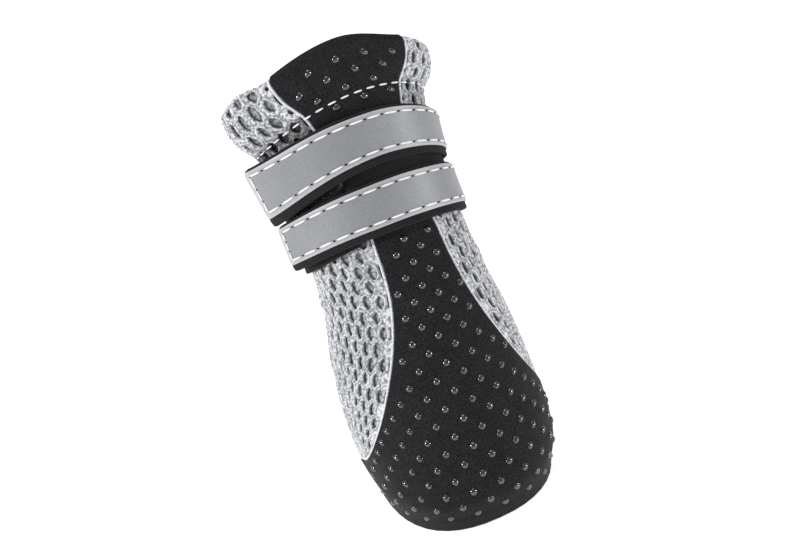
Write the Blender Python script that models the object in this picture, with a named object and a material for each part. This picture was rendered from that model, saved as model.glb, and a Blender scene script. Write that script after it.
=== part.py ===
# Dog boot: one soft boot for a paw, standing empty on its sole.
# Metres, +Z up. The toe points to -Y, and the origin lies under the ball, on the floor.

from collections import namedtuple
from math import ceil, cos, degrees, hypot, pi, radians, sin

import bmesh
import bpy
from mathutils import Vector

# Driving sizes of the last
FOOT_LENGTH = 0.0695
BALL_WIDTH = 0.0495
BALL_SHARE = 0.4325
INSTEP_HEIGHT = 0.0730
HEEL_HEIGHT = 0.0555
SHAFT_HEIGHT = 0.0475
COLLAR_WIDTH = 0.0570
SHAFT_SKEW = 0.0024
TOE_CURVE = 0.14

# Sole and insole
SOLE_THICKNESS = 0.0023
SOLE_MARGIN = 0.0005
SIDE_STEP = 0.0004
TREAD_DEPTH = 0.0009
TREAD_RIM = 0.0024
PAD_SIZE = 0.0062
PAD_PITCH = 0.0086
TOE_SPRING = 0.0006
HEEL_SPRING = 0.0008
ARCH_LIFT = 0.0005
INSOLE_THICKNESS = 0.0016

# Places on the sole, as shares of the foot length behind the toe
TOE_SPRING_END = 0.24
HEEL_SPRING_START = 0.88
ARCH_PLACE = 0.62
ARCH_REACH = 0.11
CURVE_START = 0.605
CURVE_EASE = 0.173

# Upper and front panel
UPPER_WALL = 0.0020
COLLAR_SWELL = 0.0006
HEM_HEIGHT = 0.0125
SWELL_RUN = 0.3
RIM_ROUND = 0.0007
PANEL_THICKNESS = 0.0012
PANEL_STAND = 0.0006
PANEL_EDGE = 0.0004

# Straps, measured along the front of the shaft, down from the hem's seam
STRAP_BELOW_HEM = 0.0050
STRAP_WIDTH = 0.0140
STRAP_THICKNESS = 0.0016
STRAP_SPACING = 0.0035
LOOP_THICKNESS = 0.0014
LOOP_OVERHANG = 0.0004
TAPE_WIDTH = 0.0112
TAPE_BORDER = 0.0007
TAPE_THICKNESS = 0.0005
BAND_EDGE = 0.0005

# Running clearance between pieces that meet
CLEARANCE = 0.0003

# Where the bands run, as turns from the front centre, negative towards the free ends
STRAP_END_TURN = -88
STRAP_ROOT_TURN = 178
LOOP_END_TURN = -30
LOOP_ROOT_TURN = -178
TAPE_ROOT_TURN = 150
RAMP_START_TURN = -26
RAMP_END_TURN = 12
ROOT_RAMP_START_TURN = 36
ROOT_RAMP_END_TURN = 72
LIFT_START_TURN = -45
LOWER_END_LIFT = 0.0018
UPPER_END_LIFT = 0.0028

# The straps stand furthest apart in front and close up towards these turns
SIDE_CLOSED_TURN = 80
SIDE_CLOSING = 0.5

# Both droop from these turns on, by shares of their width. The upper strap's free end fans out
# along the rows, which draw together there, so that it keeps its own width.
END_DROOP_TURN = -20
END_DROOP = 0.093
SIDE_DROOP_TURN = -10
SIDE_DROOP = 0.17
UPPER_END_FAN = 0.50
FAN_POWER = 1.5

# Mesh density
PANEL_COLUMNS = 9
MESH_COLUMNS = 10
TOE_ROW_PITCH = 0.0028
UPPER_ROW_PITCH = 0.0056
SOLE_COLUMNS = 44
BAND_STEP_TURN = 8
INNER_RINGS = (0.70, 0.35)
INSOLE_RING = 0.50
SHARP_ANGLE = 38
SEAM_STEP = 0.02

SOLE_TOP = SOLE_THICKNESS + TREAD_DEPTH
FEATHER = SOLE_TOP + CLEARANCE

# A row for each section of the last, from the feather line up to the ankle.
# front and back are shares of the foot length behind the toe, rise is a share of the instep
# height, heel_rise of the heel height and width of the ball width. seam is the turn from the
# front centre to the panel's edge, sag the drop of the sides as a share of the ball width,
# round the power of the section's curve and taper the extra width towards the toe.
Section = namedtuple("Section", "front rise back heel_rise width seam sag round taper")

FOOT_SECTIONS = (
    Section(0.020, 0.000, 0.986, 0.000, 0.932, 120.0, 0.000, 0.88, 0.04),
    Section(-0.012, 0.075, 1.015, 0.100, 1.003, 102.0, 0.000, 0.88, 0.04),
    Section(0.011, 0.182, 1.025, 0.232, 1.030, 82.0, 0.000, 0.89, 0.04),
    Section(0.094, 0.346, 1.021, 0.393, 1.028, 58.0, 0.002, 0.93, 0.03),
    Section(0.208, 0.551, 1.007, 0.582, 0.985, 38.0, 0.004, 0.96, 0.02),
    Section(0.326, 0.779, 0.980, 0.790, 0.886, 26.0, 0.000, 0.98, 0.01),
    Section(0.4385, 1.000, 0.953, 1.000, 0.857, 22.5, 0.000, 0.98, 0.00),
)

# The shaft's rows: front and back are shares of the shaft height behind the ankle's own
# front and back, rise and heel_rise shares of it above them, and width of the collar width.
SHAFT_SECTIONS = (
    Section(0.104, 0.295, 0.050, 0.275, 0.742, 23.5, 0.004, 0.98, 0.00),
    Section(0.206, 0.610, 0.165, 0.572, 0.795, 29.0, 0.042, 0.98, 0.00),
    Section(0.262, 0.768, 0.240, 0.735, 0.828, 33.5, 0.083, 0.98, 0.00),
    Section(0.308, 0.900, 0.305, 0.855, 0.930, 38.0, 0.098, 0.97, 0.00),
    Section(0.340, 1.000, 0.345, 0.945, 0.955, 40.5, 0.104, 0.97, 0.00),
)
BALL_ROW = 3
ANKLE_ROW = len(FOOT_SECTIONS) - 1

# How far the rim rises at a turn in degrees from the front centre, as a share of the hem's height
RimPlace = namedtuple("RimPlace", "turn rise")
RIM_PLACES = (
    RimPlace(-180, 0.00),
    RimPlace(-110, 0.06),
    RimPlace(-70, 0.17),
    RimPlace(-42, -0.02),
    RimPlace(0, 0.02),
    RimPlace(36, -0.14),
    RimPlace(75, -0.16),
    RimPlace(120, -0.08),
    RimPlace(180, 0.00),
)


def along(distance_from_toe):
    """The y of a distance behind the toe."""
    return distance_from_toe - BALL_SHARE * FOOT_LENGTH


def sole_lift(y):
    """How far the sole stands off the floor: sprung at toe and heel, arched between."""
    share = (y - along(0.0)) / FOOT_LENGTH
    toe = max(0.0, (TOE_SPRING_END - share) / TOE_SPRING_END)
    heel = max(0.0, (share - HEEL_SPRING_START) / (1.0 - HEEL_SPRING_START))
    arch = max(0.0, 1.0 - ((share - ARCH_PLACE) / ARCH_REACH) ** 2)
    return TOE_SPRING * toe ** 2 + HEEL_SPRING * heel ** 2 + ARCH_LIFT * arch ** 2


def toe_curve(y):
    """How far the last bends to the left there, from the arch on towards the toe."""
    reach = max(0.0, along(CURVE_START * FOOT_LENGTH) - y)
    return TOE_CURVE * reach ** 2 / (reach + CURVE_EASE * FOOT_LENGTH)


def real_sections():
    """Every section in metres, from the feather line to the rim."""
    sections = []
    for row in FOOT_SECTIONS:
        sections.append(row._replace(
            front=along(row.front * FOOT_LENGTH),
            rise=FEATHER + row.rise * (INSTEP_HEIGHT - FEATHER),
            back=along(row.back * FOOT_LENGTH),
            heel_rise=FEATHER + row.heel_rise * (HEEL_HEIGHT - FEATHER),
            width=row.width * BALL_WIDTH,
            sag=row.sag * BALL_WIDTH,
        ))
    ankle = sections[-1]
    for row in SHAFT_SECTIONS:
        sections.append(row._replace(
            front=ankle.front + row.front * SHAFT_HEIGHT,
            rise=ankle.rise + row.rise * SHAFT_HEIGHT,
            back=ankle.back + row.back * SHAFT_HEIGHT,
            heel_rise=ankle.heel_rise + row.heel_rise * SHAFT_HEIGHT,
            width=row.width * COLLAR_WIDTH,
            sag=row.sag * BALL_WIDTH,
        ))
    return sections


def front_distances(sections):
    """The distance of each section from the feather line, along the front."""
    distances = [0.0]
    for low, high in zip(sections, sections[1:]):
        distances.append(distances[-1] + hypot(high.front - low.front, high.rise - low.rise))
    return distances


SECTIONS = real_sections()
KNOTS = front_distances(SECTIONS)
RIM = KNOTS[-1]
HEM = RIM - HEM_HEIGHT
STRAP_LOWS = {
    "lower": HEM - STRAP_BELOW_HEM - 2 * STRAP_WIDTH - STRAP_SPACING,
    "upper": HEM - STRAP_BELOW_HEM - STRAP_WIDTH,
}


def slope_at(values, index):
    """The slope of a smooth curve through the values at one knot."""
    if index == 0:
        return (values[1] - values[0]) / (KNOTS[1] - KNOTS[0])
    if index == len(values) - 1:
        return (values[-1] - values[-2]) / (KNOTS[-1] - KNOTS[-2])
    before = KNOTS[index] - KNOTS[index - 1]
    after = KNOTS[index + 1] - KNOTS[index]
    rise_before = (values[index] - values[index - 1]) / before
    rise_after = (values[index + 1] - values[index]) / after
    return (rise_before * after + rise_after * before) / (before + after)


def section_at(distance):
    """The section at a distance up the front, on a smooth curve through the rows."""
    index = 0
    while index < len(KNOTS) - 2 and distance > KNOTS[index + 1]:
        index += 1
    length = KNOTS[index + 1] - KNOTS[index]
    share = (distance - KNOTS[index]) / length
    columns = []
    for values in zip(*SECTIONS):
        low, high = values[index], values[index + 1]
        leave = slope_at(values, index) * length
        arrive = slope_at(values, index + 1) * length
        square, cube = share ** 2, share ** 3
        columns.append(low * (2 * cube - 3 * square + 1) + leave * (cube - 2 * square + share)
                       + high * (3 * square - 2 * cube) + arrive * (cube - square))
    return Section(*columns)


def rounded(value, power):
    """A sine or cosine made fuller by a power under one."""
    return abs(value) ** power if value >= 0 else -abs(value) ** power


def eased_share(value, first, last):
    """0 before the first value, 1 after the last, eased between."""
    share = min(1.0, max(0.0, (value - first) / (last - first)))
    return share * share * (3 - 2 * share)


def rim_rise(turn):
    """How far the rim rises or dips at a turn, eased between the places of its table."""
    angle = (degrees(turn) + 180.0) % 360.0 - 180.0
    for first, last in zip(RIM_PLACES, RIM_PLACES[1:]):
        if angle <= last.turn:
            break
    share = eased_share(angle, first.turn, last.turn)
    return (first.rise + (last.rise - first.rise) * share) * HEM_HEIGHT


def last_point(distance, turn):
    """A point on the outside of the upper. turn is in radians from the front centre."""
    row = section_at(distance)
    front = Vector((0.0, row.front, row.rise))
    back = Vector((0.0, row.back, row.heel_rise))
    middle = (front + back) / 2
    half = (back - front) / 2
    up = Vector((0.0, -half.z, half.y)).normalized()
    side = row.width / 2 * rounded(sin(turn), row.round) * (1 + row.taper * cos(turn))
    drop = row.sag * sin(turn) ** 2 - rim_rise(turn) * eased_share(distance, HEM, RIM)
    point = middle - half * rounded(cos(turn), row.round) - up * drop
    foot = 1.0 - eased_share(distance, KNOTS[BALL_ROW], KNOTS[ANKLE_ROW])
    skew = (1 - cos(turn)) / 2 * eased_share(distance, KNOTS[ANKLE_ROW - 1], RIM)
    point.x = side - toe_curve(point.y) * foot - SHAFT_SKEW * skew
    fade = max(0.0, 1.0 - distance / KNOTS[2])
    point.z += sole_lift(point.y) * fade
    return point


def last_normal(distance, turn):
    """The outward direction there, level at the feather line so that the wall stands on the sole."""
    step_up = 0.0004
    step_round = 0.01
    low = max(0.0, distance - step_up)
    high = min(RIM, distance + step_up)
    rise = last_point(high, turn) - last_point(low, turn)
    sweep = last_point(distance, turn + step_round) - last_point(distance, turn - step_round)
    normal = sweep.cross(rise).normalized()
    if distance < CLEARANCE:
        normal.z = 0.0
        normal.normalize()
    return normal


def swell(distance):
    """The folded hem stands proud of the shaft, rising softly over its seam."""
    return COLLAR_SWELL * eased_share(distance, HEM, HEM + SWELL_RUN * HEM_HEIGHT)


def skin_point(distance, turn, offset):
    """A point off the outside of the upper by the offset, outwards if positive."""
    reach = offset + swell(distance)
    return last_point(distance, turn) + last_normal(distance, turn) * reach


def seam_turn(distance):
    return radians(section_at(distance).seam)


def even_steps(first, last, count):
    return [first + (last - first) * index / count for index in range(count + 1)]


def new_object(name, bm, collection, material):
    """A mesh object from a bmesh, smooth but for its sharp edges."""
    bmesh.ops.recalc_face_normals(bm, faces=bm.faces)
    mesh = bpy.data.meshes.new(name)
    bm.to_mesh(mesh)
    bm.free()
    mesh.shade_smooth()
    mesh.set_sharp_from_angle(angle=radians(SHARP_ANGLE))
    mesh.materials.append(material)
    piece = bpy.data.objects.new(name, mesh)
    collection.objects.link(piece)
    return piece


def bridge(bm, first, second):
    """Triangles between two rings of vertices, each pair split along its shorter diagonal."""
    count = len(first)
    for index in range(count):
        after = (index + 1) % count
        near, right, far, left = first[index], first[after], second[after], second[index]
        if (near.co - far.co).length <= (right.co - left.co).length:
            bm.faces.new((near, right, far))
            bm.faces.new((near, far, left))
        else:
            bm.faces.new((near, right, left))
            bm.faces.new((right, far, left))


def loft(rings):
    """A solid through rings of points, the last joined to the first."""
    bm = bmesh.new()
    rows = [[bm.verts.new(point) for point in ring] for ring in rings]
    for low, high in zip(rows, rows[1:] + rows[:1]):
        bridge(bm, low, high)
    return bm


def shell_patch(distances, turns_at, inner, outer, edge, place=lambda distance, turn: distance):
    """A solid patch of the upper's skin, between two offsets, with its outer edges eased.

    distances are the rows up the front, turns_at(distance) gives each row's turns, inner and
    outer give the offsets at a turn, and place where the row runs there.
    """
    rings = []
    for row, distance in enumerate(distances):
        turns = turns_at(distance)
        ease_row = row in (0, len(distances) - 1)
        ring = []
        for column, turn in enumerate(turns):
            ease = edge if ease_row or column in (0, len(turns) - 1) else 0.0
            ring.append(skin_point(place(distance, turn), turn, outer(turn) - ease))
        for turn in reversed(turns):
            ring.append(skin_point(place(distance, turn), turn, inner(turn)))
        rings.append(ring)
    bm = bmesh.new()
    rows = [[bm.verts.new(point) for point in ring] for ring in rings]
    for low, high in zip(rows, rows[1:]):
        bridge(bm, low, high)
    count = len(rows[0]) // 2
    for end in (rows[0], rows[-1]):
        for column in range(count - 1):
            far = len(end) - 1 - column
            bm.faces.new((end[column], end[column + 1], end[far - 1], end[far]))
    return bm


def upper_rows():
    """Distances of the upper's rows, closer together round the toe."""
    toe = KNOTS[BALL_ROW]
    close = even_steps(0.0, toe, ceil(toe / TOE_ROW_PITCH))
    return close[:-1] + even_steps(toe, RIM, ceil((RIM - toe) / UPPER_ROW_PITCH))


def make_upper(collection, material):
    """One hollow wall with a step for the front panel, open at the collar and underneath."""
    recess = -(PANEL_THICKNESS - PANEL_STAND + CLEARANCE)

    def ring_at(distance, depth):
        seam = seam_turn(distance)
        ring = []
        for turn in even_steps(0.0, seam, PANEL_COLUMNS):
            ring.append((turn, recess if depth is None else depth))
        for turn in even_steps(seam, pi, MESH_COLUMNS):
            ring.append((turn, 0.0 if depth is None else depth))
        if depth is not None:
            del ring[PANEL_COLUMNS + 1]
            ring.insert(PANEL_COLUMNS + 1, (seam + SEAM_STEP, depth))
        other = [(-turn, offset) for turn, offset in reversed(ring[1:-1])]
        return [skin_point(distance, turn, offset) for turn, offset in ring + other]

    rows = upper_rows()
    outer = [ring_at(distance, None) for distance in rows]
    inner = [ring_at(distance, -UPPER_WALL) for distance in rows]
    crest = []
    for outside, inside, below in zip(outer[-1], inner[-1], outer[-2]):
        crest.append((outside + inside) / 2 + (outside - below).normalized() * RIM_ROUND)
    rings = outer + [crest] + list(reversed(inner))
    return new_object("upper", loft(rings), collection, material)


def make_front_panel(collection, material):
    """The toe cap and tongue of the boot in one, set in the upper's step."""
    inner_offset = PANEL_STAND - PANEL_THICKNESS

    def turns_at(distance):
        radius = section_at(distance).width / 2
        edge = seam_turn(distance) - CLEARANCE / radius
        return even_steps(-edge, edge, 2 * PANEL_COLUMNS)

    bm = shell_patch(upper_rows(), turns_at, lambda turn: inner_offset,
                     lambda turn: PANEL_STAND, PANEL_EDGE)
    return new_object("front_panel", bm, collection, material)


def sole_ring(inset, height):
    """A ring of the sole's outline, moved in by the inset and set above the sole's lift."""
    ring = []
    for turn in even_steps(0.0, 2 * pi, SOLE_COLUMNS)[:-1]:
        edge = last_point(0.0, turn) + last_normal(0.0, turn) * (SOLE_MARGIN - inset)
        ring.append(Vector((edge.x, edge.y, sole_lift(edge.y) + height)))
    return ring


def shrunk(ring, share, height):
    """The ring drawn in towards the middle of the sole, on the sole's own curve."""
    middle = along(FOOT_LENGTH / 2)
    points = []
    for point in ring:
        y = middle + (point.y - middle) * share
        points.append(Vector((point.x * share, y, sole_lift(y) + height)))
    return points


def plate(rings):
    """A closed plate from rings, its first and last closed by a fan."""
    bm = bmesh.new()
    rows = [[bm.verts.new(point) for point in ring] for ring in rings]
    for low, high in zip(rows, rows[1:]):
        bridge(bm, low, high)
    for end, ring in ((rows[0], rings[0]), (rows[-1], rings[-1])):
        hub = bm.verts.new(sum(ring, Vector()) / len(ring))
        for index, vertex in enumerate(end):
            bm.faces.new((vertex, end[(index + 1) % len(end)], hub))
    return bm


def pad_places():
    """Centres of the tread's pads, in staggered rows inside the rim."""
    row_pitch = PAD_PITCH * cos(radians(30))
    reach = PAD_SIZE / 2 + TREAD_RIM + SIDE_STEP
    places = []
    rows = ceil(FOOT_LENGTH / row_pitch)
    columns = ceil(BALL_WIDTH / PAD_PITCH)
    edge = sole_ring(reach, 0.0)
    for row in range(-rows, rows + 1):
        for column in range(-columns, columns + 1):
            x = (column + (0.5 if row % 2 else 0.0)) * PAD_PITCH
            y = row * row_pitch
            if inside(edge, x, y):
                places.append((x, y))
    return places


def inside(ring, x, y):
    """Whether a place lies within a ring seen from above."""
    crossings = 0
    for first, second in zip(ring, ring[1:] + ring[:1]):
        if (first.y > y) != (second.y > y):
            cut = first.x + (y - first.y) / (second.y - first.y) * (second.x - first.x)
            crossings += cut > x
    return crossings % 2 == 1


def make_outsole(collection, cutters, material):
    """A thin sole with toe spring, a stepped side, a tread rim and pads fused below."""
    half_way = SOLE_THICKNESS / 2 + TREAD_DEPTH
    under = sole_ring(TREAD_RIM + 2 * SIDE_STEP, TREAD_DEPTH)
    top = sole_ring(0.0, SOLE_TOP)
    rings = [shrunk(under, share, TREAD_DEPTH) for share in reversed(INNER_RINGS)]
    rings += [
        under,
        sole_ring(TREAD_RIM + SIDE_STEP, 0.0),
        sole_ring(2 * SIDE_STEP, 0.0),
        sole_ring(SIDE_STEP, SIDE_STEP),
        sole_ring(SIDE_STEP, half_way - SIDE_STEP),
        sole_ring(0.0, half_way),
        top,
    ]
    rings += [shrunk(top, share, SOLE_TOP) for share in INNER_RINGS]
    sole = new_object("outsole", plate(rings), collection, material)
    bm = bmesh.new()
    for x, y in pad_places():
        made = bmesh.ops.create_cone(
            bm, cap_ends=True, segments=6, radius1=PAD_SIZE / 2, radius2=PAD_SIZE / 2 + TREAD_DEPTH / 4,
            depth=TREAD_DEPTH + SIDE_STEP)
        height = sole_lift(y) + (TREAD_DEPTH + SIDE_STEP) / 2
        bmesh.ops.translate(bm, verts=made["verts"], vec=(x, y, height))
    pads = new_object("tread_pads", bm, cutters, material)
    pads.hide_render = True
    pads.display_type = "WIRE"
    fuse = sole.modifiers.new("fuse_pads", "BOOLEAN")
    fuse.operation = "UNION"
    fuse.solver = "EXACT"
    fuse.object = pads
    return sole


def make_insole(collection, material):
    """A thin sheet inside the wall, on the sole."""
    inset = SOLE_MARGIN + UPPER_WALL + CLEARANCE
    low = SOLE_TOP + CLEARANCE
    high = low + INSOLE_THICKNESS
    bottom = sole_ring(inset, low)
    top = sole_ring(inset, high)
    rings = [
        shrunk(bottom, INSOLE_RING, low),
        bottom,
        top,
        shrunk(top, INSOLE_RING, high),
    ]
    return new_object("insole", plate(rings), collection, material)


def strap_base(turn, end_lift):
    """The strap's underside: over the loop band by its free end, down to the upper at its root."""
    over_loop = LOOP_THICKNESS + 2 * CLEARANCE
    over_panel = PANEL_STAND + CLEARANCE
    across = eased_share(degrees(turn), RAMP_START_TURN, RAMP_END_TURN)
    behind = eased_share(degrees(turn), ROOT_RAMP_START_TURN, ROOT_RAMP_END_TURN)
    lifted = end_lift * eased_share(-degrees(turn), -LIFT_START_TURN, -STRAP_END_TURN)
    base = over_loop + (over_panel - over_loop) * across + lifted
    return base + (CLEARANCE - over_panel) * behind


def strap_closing(turn):
    """How far each strap moves towards the other: all the way at their free ends."""
    by_end = eased_share(-degrees(turn), 0, -STRAP_END_TURN)
    by_side = SIDE_CLOSING * eased_share(degrees(turn), 0, SIDE_CLOSED_TURN)
    return (STRAP_SPACING - CLEARANCE) / 2 * max(by_end, by_side)


def strap_droop(turn):
    """How far both straps hang lower towards their free ends and at the side."""
    by_end = END_DROOP * eased_share(-degrees(turn), -END_DROOP_TURN, -STRAP_END_TURN)
    by_side = SIDE_DROOP * eased_share(degrees(turn), SIDE_DROOP_TURN, SIDE_CLOSED_TURN)
    return STRAP_WIDTH * (by_end + by_side)


def band_turns(first, last):
    steps = ceil(abs(last - first) / BAND_STEP_TURN)
    turns = even_steps(radians(first), radians(last), steps)
    return lambda distance: turns


def band_rows(low, high):
    middle = (low + high) / 2
    return [low, low + BAND_EDGE, middle, high - BAND_EDGE, high]


def make_bands(label, collection, materials):
    """One fastening: the loop band, the strap over it and the reflective tape on the strap."""
    low = STRAP_LOWS[label]
    high = low + STRAP_WIDTH
    end_lift = {"lower": LOWER_END_LIFT, "upper": UPPER_END_LIFT}[label]
    end_fan = {"lower": 0.0, "upper": UPPER_END_FAN}[label]
    way = {"lower": 1.0, "upper": -1.0}[label]
    to_other = (STRAP_SPACING - CLEARANCE) / 2
    loop_low = low - {"lower": LOOP_OVERHANG, "upper": to_other}[label]
    loop_high = high + {"lower": to_other, "upper": LOOP_OVERHANG}[label]
    tape_rows = [high - TAPE_BORDER - TAPE_WIDTH * share for share in (1.0, 0.5, 0.0)]
    tape_base = STRAP_THICKNESS + CLEARANCE

    def base(turn):
        return strap_base(turn, end_lift)

    def loop_place(distance, turn):
        return distance - strap_droop(turn)

    def strap_place(distance, turn):
        end = min(1.0, max(0.0, degrees(turn) / STRAP_END_TURN)) ** FAN_POWER
        fan = end_fan * (distance - low) * end
        return distance + fan + way * strap_closing(turn) - strap_droop(turn)

    loop = shell_patch(
        band_rows(loop_low, loop_high), band_turns(LOOP_ROOT_TURN, LOOP_END_TURN),
        lambda turn: CLEARANCE, lambda turn: CLEARANCE + LOOP_THICKNESS, BAND_EDGE, loop_place)
    new_object("strap_loop_" + label, loop, collection, materials["loop"])
    strap = shell_patch(
        band_rows(low, high), band_turns(STRAP_END_TURN, STRAP_ROOT_TURN),
        base, lambda turn: base(turn) + STRAP_THICKNESS, BAND_EDGE, strap_place)
    new_object("strap_" + label, strap, collection, materials["strap"])
    tape = shell_patch(
        tape_rows, band_turns(STRAP_END_TURN + 1, TAPE_ROOT_TURN),
        lambda turn: base(turn) + tape_base,
        lambda turn: base(turn) + tape_base + TAPE_THICKNESS, 0.0, strap_place)
    new_object("reflective_" + label, tape, collection, materials["tape"])


def make_material(name, color, roughness, metallic):
    material = bpy.data.materials.new(name)
    material.use_nodes = True
    shader = material.node_tree.nodes["Principled BSDF"]
    shader.inputs["Base Color"].default_value = (*color, 1.0)
    shader.inputs["Roughness"].default_value = roughness
    shader.inputs["Metallic"].default_value = metallic
    return material


def main():
    for leftover in list(bpy.data.objects):
        bpy.data.objects.remove(leftover, do_unlink=True)
    collection = bpy.data.collections.new("dog_boot")
    cutters = bpy.data.collections.new("dog_boot_cutters")
    bpy.context.scene.collection.children.link(collection)
    bpy.context.scene.collection.children.link(cutters)

    make_outsole(collection, cutters, make_material("outsole_rubber", (0.020, 0.020, 0.021), 0.60, 0.0))
    make_insole(collection, make_material("insole_foam", (0.050, 0.050, 0.055), 0.90, 0.0))
    make_upper(collection, make_material("mesh_fabric", (0.560, 0.570, 0.580), 0.85, 0.0))
    make_front_panel(collection, make_material("panel_neoprene", (0.022, 0.022, 0.024), 0.70, 0.0))

    for label in STRAP_LOWS:
        materials = {
            "loop": make_material("loop_pile_" + label, (0.016, 0.016, 0.017), 0.95, 0.0),
            "strap": make_material("strap_webbing_" + label, (0.018, 0.018, 0.019), 0.80, 0.0),
            "tape": make_material("reflective_tape_" + label, (0.330, 0.335, 0.340), 0.40, 0.1),
        }
        make_bands(label, collection, materials)


main()
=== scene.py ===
from collections import namedtuple
from functools import partial
from math import ceil, cos, degrees, pi, radians, sin

import bmesh
import bpy
import numpy as np
from mathutils import Matrix, Vector


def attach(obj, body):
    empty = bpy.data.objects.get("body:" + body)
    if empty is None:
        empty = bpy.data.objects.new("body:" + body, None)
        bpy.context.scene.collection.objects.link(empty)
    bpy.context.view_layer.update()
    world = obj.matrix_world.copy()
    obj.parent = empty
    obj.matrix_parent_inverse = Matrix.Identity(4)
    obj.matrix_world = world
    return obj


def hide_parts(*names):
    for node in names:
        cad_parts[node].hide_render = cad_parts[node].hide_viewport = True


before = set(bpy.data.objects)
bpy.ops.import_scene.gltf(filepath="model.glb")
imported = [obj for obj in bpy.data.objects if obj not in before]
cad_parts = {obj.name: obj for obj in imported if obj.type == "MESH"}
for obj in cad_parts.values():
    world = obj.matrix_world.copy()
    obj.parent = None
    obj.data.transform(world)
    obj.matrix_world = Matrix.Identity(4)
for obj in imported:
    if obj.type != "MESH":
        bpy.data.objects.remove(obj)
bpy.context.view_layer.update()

MM = 0.001
WELD = 0.01 * MM

# The last's own sizes, as in the solids
FOOT_LENGTH = 69.5 * MM
BALL_WIDTH = 49.5 * MM
BALL_SHARE = 0.4325
INSTEP_HEIGHT = 73 * MM
HEEL_HEIGHT = 55.5 * MM
SHAFT_HEIGHT = 47.5 * MM
COLLAR_WIDTH = 57 * MM
TOE_CURVE = 0.14
CURVE_START = 0.605
CURVE_EASE = 0.173
SOLE_TOP = 3.2 * MM
CLEARANCE = 0.3 * MM
FEATHER = SOLE_TOP + CLEARANCE
TOE_SPRING = 0.6 * MM
TOE_SPRING_END = 0.24
HEEL_SPRING = 0.8 * MM
HEEL_SPRING_START = 0.88
ARCH_LIFT = 0.5 * MM
ARCH_PLACE = 0.62
ARCH_REACH = 0.11
HEM_HEIGHT = 12.5 * MM
PANEL_STAND = 0.6 * MM
STRAP_BELOW_HEM = 5.0 * MM
STRAP_WIDTH = 14.0 * MM
STRAP_THICKNESS = 1.6 * MM
STRAP_SPACING = 3.5 * MM
LOOP_THICKNESS = 1.4 * MM
TAPE_WIDTH = 11.2 * MM
TAPE_BORDER = 0.7 * MM
SHAFT_SKEW = 2.4 * MM

Section = namedtuple("Section", "front rise back heel_rise width seam sag round taper")

# The same rows as the solids: shares of foot length, instep height, heel height and ball width
FOOT_SECTIONS = (
    Section(0.020, 0.000, 0.986, 0.000, 0.932, 120.0, 0.000, 0.88, 0.04),
    Section(-0.012, 0.075, 1.015, 0.100, 1.003, 102.0, 0.000, 0.88, 0.04),
    Section(0.011, 0.182, 1.025, 0.232, 1.030, 82.0, 0.000, 0.89, 0.04),
    Section(0.094, 0.346, 1.021, 0.393, 1.028, 58.0, 0.002, 0.93, 0.03),
    Section(0.208, 0.551, 1.007, 0.582, 0.985, 38.0, 0.004, 0.96, 0.02),
    Section(0.326, 0.779, 0.980, 0.790, 0.886, 26.0, 0.000, 0.98, 0.01),
    Section(0.4385, 1.000, 0.953, 1.000, 0.857, 22.5, 0.000, 0.98, 0.00),
)

# Shares of shaft height and collar width
SHAFT_SECTIONS = (
    Section(0.104, 0.295, 0.050, 0.275, 0.742, 23.5, 0.004, 0.98, 0.00),
    Section(0.206, 0.610, 0.165, 0.572, 0.795, 29.0, 0.042, 0.98, 0.00),
    Section(0.262, 0.768, 0.240, 0.735, 0.828, 33.5, 0.083, 0.98, 0.00),
    Section(0.308, 0.900, 0.305, 0.855, 0.930, 38.0, 0.098, 0.97, 0.00),
    Section(0.340, 1.000, 0.345, 0.945, 0.955, 40.5, 0.104, 0.97, 0.00),
)
BALL_ROW = 3
ANKLE_ROW = len(FOOT_SECTIONS) - 1

# How far the rim rises at a turn in degrees, as a share of the hem's height
RIM_TURNS = (-180.0, -110.0, -70.0, -42.0, 0.0, 36.0, 75.0, 120.0, 180.0)
RIM_RISES = (0.00, 0.06, 0.17, -0.02, 0.02, -0.14, -0.16, -0.08, 0.00)


# The last's surface, worked out for many points at once

def along(distance_from_toe):
    return distance_from_toe - BALL_SHARE * FOOT_LENGTH

def run_along(points):
    """How far each point of a path lies from its start."""
    return np.concatenate([[0.0], np.cumsum(np.linalg.norm(np.diff(points, axis=0), axis=1))])


def sole_lift(y):
    """How far the sole stands off the floor: sprung at toe and heel, arched between."""
    share = (y - along(0.0)) / FOOT_LENGTH
    toe = np.maximum(0.0, (TOE_SPRING_END - share) / TOE_SPRING_END)
    heel = np.maximum(0.0, (share - HEEL_SPRING_START) / (1.0 - HEEL_SPRING_START))
    arch = np.maximum(0.0, 1.0 - ((share - ARCH_PLACE) / ARCH_REACH) ** 2)
    return TOE_SPRING * toe ** 2 + HEEL_SPRING * heel ** 2 + ARCH_LIFT * arch ** 2


def toe_curve(y):
    """How far the last bends to the left there, from the arch on towards the toe."""
    reach = np.maximum(0.0, along(CURVE_START * FOOT_LENGTH) - y)
    return TOE_CURVE * reach ** 2 / (reach + CURVE_EASE * FOOT_LENGTH)


def real_sections():
    """The rows as lengths: the foot's up from the sole, the shaft's on from the ankle's row."""
    foot_heights = (FOOT_LENGTH, INSTEP_HEIGHT - FEATHER, FOOT_LENGTH, HEEL_HEIGHT - FEATHER)
    foot = np.array(FOOT_SECTIONS) * (*foot_heights, BALL_WIDTH, 1, BALL_WIDTH, 1, 1)
    foot[:, :4] += (along(0.0), FEATHER, along(0.0), FEATHER)
    shaft = np.array(SHAFT_SECTIONS) * (*[SHAFT_HEIGHT] * 4, COLLAR_WIDTH, 1, BALL_WIDTH, 1, 1)
    shaft[:, :4] += foot[-1, :4]
    return np.vstack([foot, shaft])


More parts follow.
